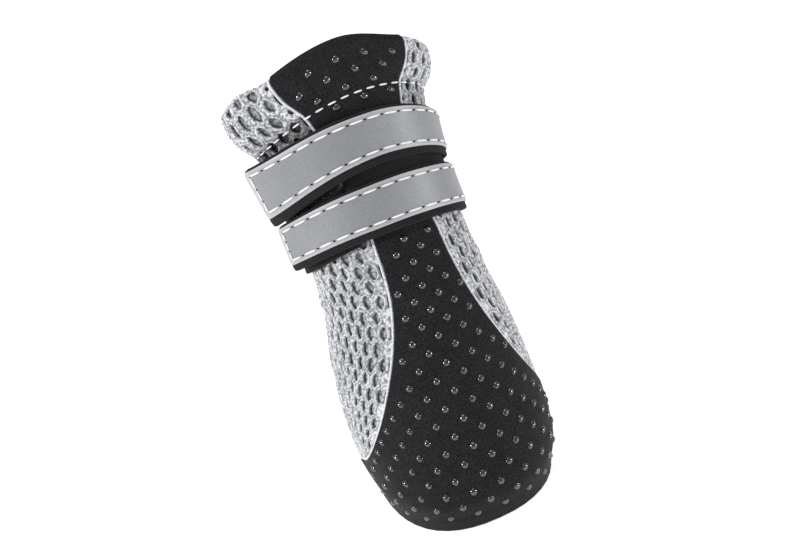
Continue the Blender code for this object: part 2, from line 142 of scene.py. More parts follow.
SECTIONS = real_sections()
KNOTS = run_along(SECTIONS[:, :2])
RIM = KNOTS[-1]
HEM = RIM - HEM_HEIGHT
STRAPS_TOP = HEM - STRAP_BELOW_HEM
STRAPS = {
    "lower": STRAPS_TOP - 2 * STRAP_WIDTH - STRAP_SPACING,
    "upper": STRAPS_TOP - STRAP_WIDTH,
}
STRAP_START = STRAPS["lower"]


def knot_slopes():
    """Slopes of the smooth curves through the rows, at each knot."""
    steps = np.diff(KNOTS)[:, None]
    rises = np.diff(SECTIONS, axis=0) / steps
    inner = (rises[:-1] * steps[1:] + rises[1:] * steps[:-1]) / (steps[:-1] + steps[1:])
    return np.vstack([rises[:1], inner, rises[-1:]])


SLOPES = knot_slopes()


def sections_at(distance):
    """Columns of the section at each distance up the front."""
    index = np.clip(np.searchsorted(KNOTS, distance, side="right") - 1, 0, len(KNOTS) - 2)
    length = (KNOTS[index + 1] - KNOTS[index])[:, None]
    share = (distance[:, None] - KNOTS[index][:, None]) / length
    square, cube = share ** 2, share ** 3
    columns = (SECTIONS[index] * (2 * cube - 3 * square + 1)
               + SLOPES[index] * length * (cube - 2 * square + share)
               + SECTIONS[index + 1] * (3 * square - 2 * cube)
               + SLOPES[index + 1] * length * (cube - square))
    return Section(*columns.T)


def ease(value, first, last):
    share = np.clip((value - first) / (last - first), 0.0, 1.0)
    return share * share * (3 - 2 * share)


def rounded(value, power):
    return np.sign(value) * np.abs(value) ** power


def rim_rise(turn):
    """How far the rim rises or dips at a turn, eased between the rows of its table."""
    angle = (np.degrees(turn) + 180.0) % 360.0 - 180.0
    turns, rises = np.array(RIM_TURNS), np.array(RIM_RISES)
    index = np.clip(np.searchsorted(turns, angle) - 1, 0, len(turns) - 2)
    share = ease(angle, turns[index], turns[index + 1])
    return (rises[index] + (rises[index + 1] - rises[index]) * share) * HEM_HEIGHT


def last_points(distance, turn):
    """Points on the outside of the upper: distance up the front, turn in radians from its centre."""
    row = sections_at(distance)
    middle_y, middle_z = (row.front + row.back) / 2, (row.rise + row.heel_rise) / 2
    half_y, half_z = (row.back - row.front) / 2, (row.heel_rise - row.rise) / 2
    length = np.hypot(half_y, half_z)
    reach = rounded(np.cos(turn), row.round)
    drop = row.sag * np.sin(turn) ** 2 - rim_rise(turn) * ease(distance, HEM, RIM)
    x = row.width / 2 * rounded(np.sin(turn), row.round) * (1 + row.taper * np.cos(turn))
    y = middle_y - half_y * reach + half_z / length * drop
    z = middle_z - half_z * reach - half_y / length * drop
    x = x - toe_curve(y) * (1 - ease(distance, KNOTS[BALL_ROW], KNOTS[ANKLE_ROW]))
    x = x - SHAFT_SKEW * (1 - np.cos(turn)) / 2 * ease(distance, KNOTS[ANKLE_ROW - 1], RIM)
    z = z + sole_lift(y) * np.maximum(0.0, 1.0 - distance / KNOTS[2])
    return np.stack([x, y, z], axis=-1)


def unit(vectors):
    return vectors / np.maximum(np.linalg.norm(vectors, axis=-1, keepdims=True), 1e-12)


FRAME_STEP = 0.4 * MM
FRAME_TURN = 0.01


def last_frames(distance, turn):
    """Points, outward directions and upward directions of the plain last."""
    low, high = np.maximum(0.0, distance - FRAME_STEP), np.minimum(RIM, distance + FRAME_STEP)
    rise = last_points(high, turn) - last_points(low, turn)
    sweep = last_points(distance, turn + FRAME_TURN) - last_points(distance, turn - FRAME_TURN)
    return last_points(distance, turn), unit(np.cross(sweep, rise)), unit(rise)


# Soft forms of the worn cloth. A crease runs between two places, each a distance up the front
# and a turn from its centre in degrees. Lengths are in millimetres, and a depth above 0 is outwards.
Crease = namedtuple("Crease", "start start_turn end end_turn width depth")

CREASES = (
    # Gathers below the straps
    Crease(75, -38, 58, -41, 2.2, -0.55),
    Crease(75, -62, 55, -66, 2.6, -0.70),
    Crease(75, -92, 60, -98, 2.8, -0.60),
    Crease(75, 44, 60, 50, 2.4, -0.55),
    Crease(75, 78, 57, 84, 2.8, -0.65),
    Crease(75, 118, 62, 122, 2.8, -0.50),
    Crease(75, 170, 60, 176, 3.0, -0.50),
    # Folds at the ankle, troughs at the heel and a dent in the panel
    Crease(66, -112, 59, -60, 3.0, 0.45),
    Crease(64, 62, 58, 118, 3.2, 0.45),
    Crease(40, -150, 34, -96, 3.4, -0.55),
    Crease(38, 100, 42, 148, 3.4, -0.50),
    Crease(62, -14, 66, 12, 3.5, -0.35),
    # Tucks of the hem's ears
    Crease(110, -74, 119, -66, 2.6, -0.55),
    Crease(110, -112, 119, -118, 3.0, -0.60),
    Crease(110, 68, 120, 62, 2.6, -0.50),
    Crease(110, 108, 119, 114, 3.0, -0.60),
    Crease(110, 164, 120, 170, 3.0, -0.60),
)
CREASE_FADE = 0.6
HEM_STAND = 0.6 * MM
HEM_EASE = 0.3 * HEM_HEIGHT
EAR_PUFF = 0.9 * MM
STRAP_SQUEEZE = 0.25 * MM
SOFT_EDGE = 3 * MM
STRAP_EDGE_EASE = 2 * MM
TURN_RADIUS = COLLAR_WIDTH / 2 * 0.85


def crease_offset(distance, turn):
    """How far the creases push the cloth out or in."""
    total = np.zeros_like(distance)
    wrapped = (turn + pi) % (2 * pi) - pi
    for crease in CREASES:
        width = crease.width * MM
        first = np.array([crease.start * MM, radians(crease.start_turn) * TURN_RADIUS])
        last = np.array([crease.end * MM, radians(crease.end_turn) * TURN_RADIUS])
        run = last - first
        length = np.hypot(*run)
        away = np.stack([distance, wrapped * TURN_RADIUS], axis=-1) - first
        share = away @ run / length ** 2
        across = (away[:, 0] * run[1] - away[:, 1] * run[0]) / length
        beyond = np.maximum(0.0, np.maximum(-share, share - 1.0)) * length
        fade = np.exp(-(beyond / width) ** 2) * (1.0 - CREASE_FADE * np.clip(share, 0.0, 1.0))
        total += crease.depth * MM * fade * np.exp(-(across / width) ** 2)
    return total


def cloth_offset(distance, turn):
    """The folded hem stands proud and puffs into ears, and the straps press the cloth in."""
    hem = ease(distance, HEM, HEM + HEM_EASE)
    ears = ease(distance, STRAPS_TOP, RIM - SOFT_EDGE) * np.sin(turn) ** 2
    under = ease(distance, STRAP_START - SOFT_EDGE, STRAP_START)
    under = under * ease(-distance, -STRAPS_TOP - STRAP_EDGE_EASE, -STRAPS_TOP)
    pressed = HEM_STAND * hem + EAR_PUFF * ears - STRAP_SQUEEZE * under
    return pressed + crease_offset(distance, turn) * (1 - under)


FOLD_RADIUS = 1.5 * MM
FOLD_LENGTH = pi * FOLD_RADIUS


def skin(distance, turn, offset):
    """Cloth at an offset from the last's outside. Past the rim it folds over and down the inside."""
    distance = np.asarray(distance, float)
    turn = np.asarray(turn, float)
    offset = np.broadcast_to(np.asarray(offset, float), distance.shape)
    over = np.clip(distance - RIM, 0.0, FOLD_LENGTH)
    inside = np.maximum(0.0, distance - RIM - FOLD_LENGTH)
    base = np.minimum(distance, RIM) - inside
    point, out, up = last_frames(base, turn)
    reach = cloth_offset(base, turn)
    angle = over / FOLD_RADIUS
    radius = FOLD_RADIUS + offset
    swing = (np.cos(angle) * radius - FOLD_RADIUS)[:, None] * out + (np.sin(angle) * radius)[:, None] * up
    return point + out * reach[:, None] + swing


ARC_STEP = 0.5 * MM
ARC_LENGTHS = np.arange(0.0, 110 * MM, ARC_STEP)
ARC_ROWS = np.linspace(0.0, RIM, 160)
HALF_TURNS = np.linspace(0.0, pi, 361)


def looked_up(table, row, column):
    """A table's value between its rows and columns."""
    low_row = np.clip(np.floor(row).astype(int), 0, table.shape[0] - 2)
    low_column = np.clip(np.floor(column).astype(int), 0, table.shape[1] - 2)
    u, v = np.clip(row - low_row, 0.0, 1.0), np.clip(column - low_column, 0.0, 1.0)
    return ((1 - u) * (1 - v) * table[low_row, low_column]
            + u * (1 - v) * table[low_row + 1, low_column]
            + (1 - u) * v * table[low_row, low_column + 1]
            + u * v * table[low_row + 1, low_column + 1])


def arc_tables():
    """Arcs from the front centre by row and turn, and turns by row and half millimetre of arc."""
    arcs = [run_along(last_points(np.full_like(HALF_TURNS, row), HALF_TURNS)) for row in ARC_ROWS]
    turns = [np.interp(ARC_LENGTHS, row_arcs, HALF_TURNS) for row_arcs in arcs]
    return np.array(arcs), np.array(turns)


ARCS_BY_TURN, TURNS_BY_ARC = arc_tables()
HALF_ROUND = ARCS_BY_TURN[:, -1]


def row_at(distance):
    return np.clip(distance, 0.0, RIM) / RIM * (len(ARC_ROWS) - 1)


def turn_at_arc(distance, arc):
    """The turn at an arc length from the front centre, along the ring at a distance."""
    return np.sign(arc) * looked_up(TURNS_BY_ARC, row_at(distance), np.abs(arc) / ARC_STEP)


def arc_at_turn(distance, turn):
    """The arc length from the front centre at a turn."""
    return looked_up(ARCS_BY_TURN, row_at(distance), np.abs(turn) / pi * (len(HALF_TURNS) - 1))


def half_round_at(distance):
    """The arc from the front centre to the back centre."""
    return np.interp(np.clip(distance, 0.0, RIM), ARC_ROWS, HALF_ROUND)


def seam_turns(distance):
    return np.radians(sections_at(np.clip(distance, 0.0, RIM)).seam)


SEAM_ARCS = arc_at_turn(ARC_ROWS, seam_turns(ARC_ROWS))


def seam_arc_at(distance):
    """The arc from the front centre to the panel's seam."""
    return np.interp(np.clip(distance, 0.0, RIM), ARC_ROWS, SEAM_ARCS)


# Mesh helpers

def new_piece(name, points, faces, material, replaces=(), uv=None, tone=None):
    """A smooth mesh piece riding on the boot, with a map in millimetres and a tone per point."""
    mesh = bpy.data.meshes.new(name)
    mesh.from_pydata([tuple(point) for point in points], [], faces)
    mesh.shade_smooth()
    corners = np.empty(len(mesh.loops), dtype=np.int32)
    mesh.loops.foreach_get("vertex_index", corners)
    if uv is not None:
        layer = mesh.uv_layers.new(name="cloth_map")
        layer.data.foreach_set("uv", np.asarray(uv, np.float32)[corners].ravel())
    if tone is not None:
        attribute = mesh.attributes.new("tone", "FLOAT", "POINT")
        attribute.data.foreach_set("value", np.full(len(points), tone, np.float32))
    mesh.materials.append(material)
    piece = bpy.data.objects.new(name, mesh)
    bpy.context.scene.collection.objects.link(piece)
    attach(piece, "root")
    if replaces:
        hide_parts(*replaces)
    return piece


def grid_faces(rows, columns, closed=False, start=0):
    """Quads of a grid of points stored row by row."""
    faces = []
    last = columns if closed else columns - 1
    for row in range(rows - 1):
        for column in range(last):
            after = (column + 1) % columns
            low, high = start + row * columns, start + (row + 1) * columns
            faces.append((low + column, low + after, high + after, high + column))
    return faces


def bar_faces(rows, columns):
    """Quads of a closed bar of rings, and a face on each end."""
    faces = grid_faces(rows, columns, closed=True)
    faces.append(tuple(range(columns))[::-1])
    faces.append(tuple((rows - 1) * columns + column for column in range(columns)))
    return faces


def cleaned(piece):
    """Joins points that meet and drops faces with no area."""
    work = bmesh.new()
    work.from_mesh(piece.data)
    bmesh.ops.remove_doubles(work, verts=work.verts, dist=WELD)
    bmesh.ops.dissolve_degenerate(work, dist=WELD, edges=work.edges)
    work.to_mesh(piece.data)
    work.free()
    piece.data.update()


def tubes(name, paths, outs, radii, sides, material, lay=1.0, tone=None):
    """Many short tubes as one mesh. paths and outs are (tube, point, 3); radii is (point,).

    lay flattens the tubes against what they lie on.
    """
    ways = unit(np.gradient(paths, axis=1))
    beside = unit(np.cross(ways, outs))
    above = np.cross(beside, ways)
    turns = np.linspace(0.0, 2 * pi, sides, endpoint=False)
    ring = (np.cos(turns)[:, None] * beside[:, :, None, :]
            + np.sin(turns)[:, None] * above[:, :, None, :] * lay)
    points = paths[:, :, None, :] + ring * radii[None, :, None, None]
    count, length = paths.shape[:2]
    points = np.concatenate([points.reshape(-1, 3), paths[:, 0], paths[:, -1]])
    first_tips = count * length * sides
    faces = []
    for index in range(count):
        start = index * length * sides
        last_ring = start + (length - 1) * sides
        faces += grid_faces(length, sides, closed=True, start=start)
        for side in range(sides):
            after = (side + 1) % sides
            faces.append((start + after, start + side, first_tips + index))
            faces.append((last_ring + side, last_ring + after, first_tips + count + index))
    return new_piece(name, points, faces, material, tone=tone)


# Materials

GREEN_SHARE = 0.3
# Sockets of the mix node when it mixes colours: the factor and both colours, and the result
MIX_SOCKETS = (0, 6, 7)
MIX_RESULT = 2


def grey(value, blue=0.0):
    return (value, value * (1 + blue * GREEN_SHARE), value * (1 + blue))


class Look:
    """A material, with the nodes that colour and roughen it."""

    def __init__(self, name, **values):
        self.material = bpy.data.materials.new(name)
        self.material.use_nodes = True
        self.tree = self.material.node_tree
        self.shader = self.tree.nodes["Principled BSDF"]
        self.places = self.tree.nodes.new("ShaderNodeTexCoord")
        for socket, value in values.items():
            self.shader.inputs[socket.replace("_", " ")].default_value = value

    def node(self, kind, source, socket, **values):
        """A node with plain values, and a source at one of its sockets."""
        made = self.tree.nodes.new(kind)
        for name, value in values.items():
            made.inputs[name].default_value = value
        self.tree.links.new(source, made.inputs[socket])
        return made

    def noise(self, size, detail):
        """Noise with features of about a size in metres, in the object's own coordinates."""
        made = self.node("ShaderNodeTexNoise", self.places.outputs["Object"], "Vector",
                         Scale=1.0 / size, Detail=detail)
        return made.outputs["Fac"]

    def ramp(self, source, *stops):
        """Greys between two stops, each a place and a grey."""
        made = self.node("ShaderNodeValToRGB", source, "Fac")
        for element, (position, value) in zip(made.color_ramp.elements, stops):
            element.position = position
            element.color = (*grey(value), 1.0)
        return made.outputs["Color"]

    def tone(self):
        """The tone that the piece holds at each of its points."""
        made = self.tree.nodes.new("ShaderNodeAttribute")
        made.attribute_name = "tone"
        return made.outputs["Fac"]

    def mix(self, factor, first, second, blend="MIX"):
        """Mixes two colours, each a socket or a plain colour."""
        made = self.tree.nodes.new("ShaderNodeMix")
        made.data_type = "RGBA"
        made.blend_type = blend
        for source, socket in zip((factor, first, second), MIX_SOCKETS):
            if isinstance(source, bpy.types.NodeSocket):
                self.tree.links.new(source, made.inputs[socket])
            elif isinstance(source, tuple):
                made.inputs[socket].default_value = (*source, 1.0)
            else:
                made.inputs[socket].default_value = source
        return made.outputs[MIX_RESULT]

    def times(self, first, second):
        return self.mix(1.0, first, second, "MULTIPLY")

    def finished(self, colour, *heights):
        """The material in a colour, with bumps. Each height is a socket, a strength and a depth."""
        self.tree.links.new(colour, self.shader.inputs["Base Color"])
        below = None
        for source, strength, depth in heights:
            made = self.node("ShaderNodeBump", source, "Height", Strength=strength, Distance=depth)
            if below:
                self.tree.links.new(below, made.inputs["Normal"])
            below = made.outputs["Normal"]
        self.tree.links.new(below, self.shader.inputs["Normal"])
        return self.material


def mesh_material(name, light, shade, spots, yarn_size):
    """Knitted yarn with a fine uneven twist, pale where the tone is high and grey where it is low: on the
    upper's rings that grey is painted shade.
    """
    look = Look(name, Roughness=0.62, Specular_IOR_Level=0.3)
    yarn = look.noise(yarn_size, 4.0)
    # A low tone mixes to the shade grey: painted shade in the mesh's grooves and hole walls, and the darker
    # cloth of the lining and of the band by the hem.
    strands = look.mix(look.tone(), grey(shade, 0.10), grey(light, 0.05))
    spotted = look.mix(look.ramp(yarn, (0.40, 0.0), (0.57, 1.0)), grey(spots, 0.06), grey(1.0))
    fine = look.noise(0.16 * MM, 2.0)
    return look.finished(look.times(strands, spotted), (yarn, 0.9, 0.30 * MM), (fine, 0.5, 0.08 * MM))


def panel_material():
    """Matt black coated cloth with a fine pebble."""
    look = Look("panel_black", Roughness=0.62, Specular_IOR_Level=0.10)
    pebble = look.noise(0.45 * MM, 5.0)
    base = look.mix(look.noise(6 * MM, 3.0), grey(0.009, 0.12), grey(0.017, 0.12))
    grains = look.ramp(pebble, (0.38, 0.55), (0.64, 1.7))
    return look.finished(look.times(base, grains), (pebble, 0.9, 0.30 * MM))


# Ribs of the webbing, 0.50 mm apart: a wave of scale 1 repeats every 0.314 of its map's units
RIB_SCALE = 0.314 / 0.50


def strap_material(name, dark, bright):
    """Black webbing with fine ribs across and a little fuzz."""
    look = Look(name, Roughness=0.85, Specular_IOR_Level=0.12, Sheen_Weight=0.04, Sheen_Roughness=0.5)
    fuzz = look.noise(0.35 * MM, 4.0)
    wave = look.node("ShaderNodeTexWave", look.places.outputs["UV"], "Vector",
                     Scale=RIB_SCALE, Distortion=0.6)
    ribs = wave.outputs["Fac"]
    colour = look.times(look.mix(fuzz, grey(dark, 0.08), grey(bright, 0.08)),
                        look.mix(ribs, grey(0.35), grey(2.4)))
    return look.finished(colour, (fuzz, 0.9, 0.35 * MM), (ribs, 0.8, 0.15 * MM))


def tape_material():
    """Silver-grey reflective tape: satin, finely grained, paler outside the stitches."""
    look = Look("tape_silver", Roughness=0.48, Specular_IOR_Level=0.5, Metallic=0.15)
    base = look.mix(look.tone(), grey(0.25, 0.08), grey(0.44, 0.05))
    clouded = look.mix(look.noise(9 * MM, 3.0), grey(0.90), grey(1.10))
    speck = look.mix(look.noise(0.45 * MM, 3.0), grey(0.72), grey(1.30))
    colour = look.times(look.times(base, clouded), speck)
    return look.finished(colour, (look.noise(0.22 * MM, 2.0), 0.35, 0.05 * MM))


Grain = namedtuple("Grain", "size detail strength depth")


def plain_material(name, dark, bright, grain, cloud=None, **values):
    """Between two greys, with a grain in relief. The greys follow the cloud where it has one."""
    look = Look(name, **values)
    relief = look.noise(grain.size, grain.detail)
    tint = look.noise(*cloud) if cloud else relief
    return look.finished(look.mix(tint, dark, bright), (relief, grain.strength, grain.depth))


MESH = mesh_material("mesh_knit", 0.80, 0.05, 0.36, 0.75 * MM)
EDGE = mesh_material("mesh_edge_yarn", 0.86, 0.30, 0.66, 0.60 * MM)
BACKING = mesh_material("mesh_backing_knit", 0.60, 0.012, 0.30, 0.90 * MM)
PANEL = panel_material()
DOT = plain_material("dot_black", grey(0.003), grey(0.008), Grain(0.6 * MM, 3.0, 0.25, 0.04 * MM),
                     Roughness=0.145, Specular_IOR_Level=1.0, IOR=1.6)
STRAP = strap_material("strap_webbing", 0.004, 0.022)
LOOP = strap_material("loop_pile", 0.003, 0.014)
TAPE = tape_material()
THREAD = plain_material("thread_white", grey(0.82, 0.03), grey(1.0), Grain(0.3 * MM, 3.0, 0.6, 0.12 * MM),
                        Roughness=0.6, Specular_IOR_Level=0.35)
RUBBER = plain_material("sole_rubber", grey(0.005, 0.04), grey(0.013, 0.02),
                        Grain(0.45 * MM, 4.0, 0.5, 0.12 * MM), cloud=(5 * MM, 4.0),
                        Roughness=0.62, Specular_IOR_Level=0.25)
INSOLE = plain_material("insole_cloth", grey(0.05, 0.05), grey(0.13, 0.05),
                        Grain(0.5 * MM, 5.0, 0.8, 0.25 * MM),
                        Roughness=0.9, Specular_IOR_Level=0.2, Sheen_Weight=0.2)
NEEDLE_HOLE = Look("needle_hole", Roughness=0.9, Specular_IOR_Level=0.1,
                   Base_Color=(*grey(0.008), 1.0)).material


# Knitted mesh of the upper: rows of pointed holes, each row half a step along from the next

CELL_ACROSS = 4.1 * MM
CELL_ALONG = 3.7 * MM
HOLE_ACROSS = 2.3 * MM
HOLE_ALONG = 3.5 * MM
HOLE_POINT = 1.5
HEM_SPREAD = 1.12
LEFT_BAND = 1.0
RIGHT_BAND = 0.5
RIGHT_STRETCH = 0.72
CELL_BEND = 0.7 * MM
GROOVE = 0.20 * MM
CROWN = 0.24 * MM
CROWN_SHARE = 0.52
EDGE_DEPTH = 0.25 * MM
HOLE_DEPTH = 0.95 * MM
WALL_SPREAD = 1.04
SEAM_GAP = 0.35 * MM
PLAIN_EDGE = 0.3 * MM
TUCK = 0.55 * MM
SOLE_EDGE = 0.1 * MM
HOLE_OPENING = 0.5 * MM
HOLE_STRAY = 0.16 * MM
HOLE_SIZES = (0.84, 1.08)
BAND_DARKNESS = (0.25, 1.0)
BAND_IN = (STRAPS_TOP - 1.5 * MM, STRAPS_TOP)
BAND_OUT = (HEM + 0.3 * MM, HEM + 1.6 * MM)
QUARTERS = 4
RINGS = 4

LEVEL_STEP = 1.0 * MM
COLUMN_SLANT = 0.55
LEVELS = np.arange(0.0, 100 * MM, LEVEL_STEP)
FOOT_TOP = LEVELS[-1]
HEM_DOWN = 45 * MM
HEM_TRIES = 6
DOWN_TURNS = np.linspace(0.0, pi, 91)
DOWN_LENGTHS = np.arange(0.0, 140 * MM, ARC_STEP)
SPLIT = STRAPS["upper"] - STRAP_SPACING / 2


def down_table():
    """For each turn, the distance up the front at each half millimetre below the rim."""
    rows = []
    for turn in DOWN_TURNS:
        below = run_along(last_points(ARC_ROWS[::-1], np.full_like(ARC_ROWS, turn)))
        rows.append(np.interp(DOWN_LENGTHS, below, ARC_ROWS[::-1]))
    return np.array(rows)


def rows_at_levels(turns):
    """The distance up the front at which a line of turns reaches each level."""
    heights = last_points(ARC_ROWS, turns)[:, 2]
    return np.interp(LEVELS, np.maximum.accumulate(heights), ARC_ROWS)


def level_tables():
    """By height: the distance up the front at each turn, the turn at each arc from the back
    centre, and the arc from there to the panel's seam."""
    distances = np.stack([rows_at_levels(np.full_like(ARC_ROWS, turn)) for turn in HALF_TURNS], axis=1)
    seams = seam_turns(rows_at_levels(seam_turns(ARC_ROWS)))
    turns, seam_arcs = [], []
    for row, seam in zip(distances, seams):
        arcs = run_along(last_points(row, HALF_TURNS)[::-1])
        turns.append(np.interp(ARC_LENGTHS, arcs, HALF_TURNS[::-1]))
        seam_arcs.append(np.interp(seam, HALF_TURNS, arcs[::-1]))
    return distances, np.array(turns), np.array(seam_arcs)


def column_starts():
    """Where the first column runs at each level: along the seam, or more upright where it lies flat."""
    starts = LEVEL_SEAMS.copy()
    for index in range(len(starts) - 2, -1, -1):
        starts[index] = max(starts[index], starts[index + 1] - COLUMN_SLANT * LEVEL_STEP)
    return starts


DOWN_TABLE = down_table()
LEVEL_DISTANCES, LEVEL_TURNS, LEVEL_SEAMS = level_tables()
COLUMN_STARTS = column_starts()

# A point of the cloth: its place, and how far it lies from the seam, the back centre and the sole
ClothPlace = namedtuple("ClothPlace", "distance turn to_seam to_back to_sole")


def hem_cloth(across, below):
    """Cloth above the straps: arc back from the seam, and length below the rim."""
    across = across * HEM_SPREAD
    distance = np.clip(RIM - below, 0.0, RIM)
    for _ in range(HEM_TRIES):
        to_back = half_round_at(distance) - seam_arc_at(distance) - SEAM_GAP - across
        arc = half_round_at(distance) - np.maximum(to_back, 0.0)
        turn = turn_at_arc(distance, np.maximum(arc, seam_arc_at(distance) + SEAM_GAP))
        column = turn / pi * (len(DOWN_TABLE) - 1)
        found = looked_up(DOWN_TABLE, column, np.maximum(below, 0.0) / ARC_STEP)
        distance = np.where(below > 0, found, RIM)
    placed = np.maximum(distance + np.maximum(0.0, -below), SPLIT)
    return ClothPlace(placed, turn, across, to_back, distance)


def foot_cloth(across, below):
    """Cloth under the straps: arc back from the seam at a level, and depth below the top level."""
    level = (FOOT_TOP - below) / LEVEL_STEP
    seam = np.interp(level, np.arange(len(LEVELS)), LEVEL_SEAMS)
    start = np.interp(level, np.arange(len(LEVELS)), COLUMN_STARTS)
    to_back = start - SEAM_GAP - across
    to_seam = across - (start - seam)
    turn = looked_up(LEVEL_TURNS, level, np.clip(to_back, 0.0, seam - SEAM_GAP) / ARC_STEP)
    distance = looked_up(LEVEL_DISTANCES, level, turn / pi * (len(HALF_TURNS) - 1))
    arc = np.maximum(arc_at_turn(distance, turn), seam_arc_at(distance) + SEAM_GAP)
    return ClothPlace(np.minimum(distance, SPLIT), turn_at_arc(distance, arc), to_seam, to_back, distance)


def cell_outline():
    """Quarter steps round a cell, from its centre."""
    corners = ((-2, -2, 1, 0), (2, -2, 0, 1), (2, 2, -1, 0), (-2, 2, 0, -1))
    return np.array([(x + step * way_x, y + step * way_y)
                     for x, y, way_x, way_y in corners for step in range(QUARTERS)])


def cloth_cells(cloth, first_below, last_below):
    """Centres of the cells that one side of a cloth holds, and how wide each hole opens."""
    rows = range(int(first_below // CELL_ALONG), ceil(last_below / CELL_ALONG) + 1)
    columns = range(ceil(HALF_ROUND.max() / CELL_ACROSS) + 1)
    cells = [(column + 0.5 * (row % 2) + 0.25, row) for row in rows for column in columns]
    centres = np.array(cells) * (CELL_ACROSS, CELL_ALONG)
    below = centres[:, 1]
    place = cloth(centres[:, 0], below)
    beside = np.minimum(place.to_seam, place.to_back)
    room = beside - PLAIN_EDGE - HOLE_ACROSS / 2
    room = np.minimum(room, place.to_sole - PLAIN_EDGE - HOLE_ALONG / 2)
    room = np.minimum(room, below - first_below - HOLE_ALONG / 2)
    kept = (beside > -CELL_ACROSS / 2) & (place.to_sole > 0.0) & (place.distance != SPLIT)
    kept &= below > first_below - CELL_ALONG / 2
    return centres[kept], np.clip(room / HOLE_OPENING + 1.0, 0.0, 1.0)[kept]


ClothRing = namedtuple("ClothRing", "outline offset tone inner")


def cloth_rings(side):
    """The rings round a cell: its groove, the yarn's crown, and the pointed hole's edge and wall."""
    outline = cell_outline()
    edge = outline * (CELL_ACROSS, CELL_ALONG) / QUARTERS
    ends = np.where(np.abs(outline[:, 1]) == 2, np.sign(outline[:, 1]), 0.0)
    edge[:, 1] += ends * CELL_BEND * np.cos(outline[:, 0] * pi / 2)
    turn = np.arctan2(edge[:, 1] / CELL_ALONG, edge[:, 0] / CELL_ACROSS)
    width = HOLE_ACROSS * (RIGHT_STRETCH if side > 0 else 1.0)
    hole = np.stack([rounded(np.cos(turn), HOLE_POINT) * width / 2, np.sin(turn) * HOLE_ALONG / 2], axis=-1)
    return (
        # The tones are painted shade in the recesses: 0.5 in the groove, 0.7 at the hole's edge and 0 down
        # its wall, against 1 on the crown.
        ClothRing(edge, -GROOVE, 0.50, 0),
        ClothRing(edge * (1 - CROWN_SHARE) + hole * CROWN_SHARE, CROWN, 1.0, 0),
        ClothRing(hole, -EDGE_DEPTH, 0.70, 1),
        ClothRing(hole * WALL_SPREAD, -HOLE_DEPTH, 0.0, 1),
    )


def cloth_points(cloth, side, centres, opened, first_below, draws):
    """Points, map and tones of the rings of each cell, the tones holding the rings' painted shade. Inner
    rings stray and close with the hole.
    """
    strays = draws.uniform(-HOLE_STRAY, HOLE_STRAY, (len(centres), 2)) * opened[:, None]
    sizes = draws.uniform(*HOLE_SIZES, len(centres)) * opened
    places, offset, tone = [], [], []
    for ring in cloth_rings(side):
        share, size = opened ** ring.inner, sizes ** ring.inner
        places.append((centres + strays * ring.inner)[:, None] + ring.outline * size[:, None, None])
        offset.append(ring.offset * share)
        tone.append(1.0 - (1.0 - ring.tone) * share)
    steps = len(cell_outline())
    offset, tone = (np.repeat(np.stack(values, axis=1), steps) for values in (offset, tone))
    across, below = np.stack(places, axis=1).reshape(-1, 2).T
    below = np.maximum(below, first_below)
    place = cloth(across, below)
    tucked = (place.to_seam <= 0) | (below <= first_below) | (place.to_back <= 0)
    tucked |= (place.to_sole < SOLE_EDGE) | (place.distance == SPLIT)
    points = skin(place.distance, place.turn * side, np.where(tucked, -TUCK, offset))
    band = ease(place.distance, *BAND_IN) * (1 - ease(place.distance, *BAND_OUT))
    dark = band * draws.uniform(*BAND_DARKNESS, len(tone)) * (LEFT_BAND if side < 0 else RIGHT_BAND)
    return points, np.stack([across * side, below], axis=-1) / MM, tone * (1 - dark)


def mesh_piece():
    """The knitted mesh, its columns along the panel's seam, its rows level or along the rim."""
    draws = np.random.default_rng(7)
    made = []
    for cloth, first_below, last_below in ((hem_cloth, -(FOLD_LENGTH + HEM_HEIGHT), HEM_DOWN),
                                           (foot_cloth, 0.0, FOOT_TOP)):
        for side in (-1, 1):
            centres, opened = cloth_cells(cloth, first_below, last_below)
            made.append(cloth_points(cloth, side, centres, opened, first_below, draws))
    points, uv, tone = (np.concatenate(values) for values in zip(*made))
    steps = len(cell_outline())
    faces = []
    for start in range(0, len(points), RINGS * steps):
        faces += grid_faces(RINGS, steps, closed=True, start=start)
    cleaned(new_piece("mesh_upper", points, faces, MESH, ("upper",), uv, tone))


mesh_piece()


# Lining: the inner face of the mesh, seen through its holes and inside the collar

LINING_OUT = -1.10 * MM
LINING_IN = -2.0 * MM
LINING_THIN = 0.25 * MM
LINING_ROWS = 90
LINING_COLUMNS = 120
LINING_START = 0.2 * MM
LINING_END = RIM + FOLD_LENGTH + 1 * MM
NEAR_STRAPS = (STRAPS_TOP - 4 * MM, STRAPS_TOP - 1 * MM)
PLAIN_TONE = 0.85
NEAR_TONE = 0.8
EAR_TONE = 0.25


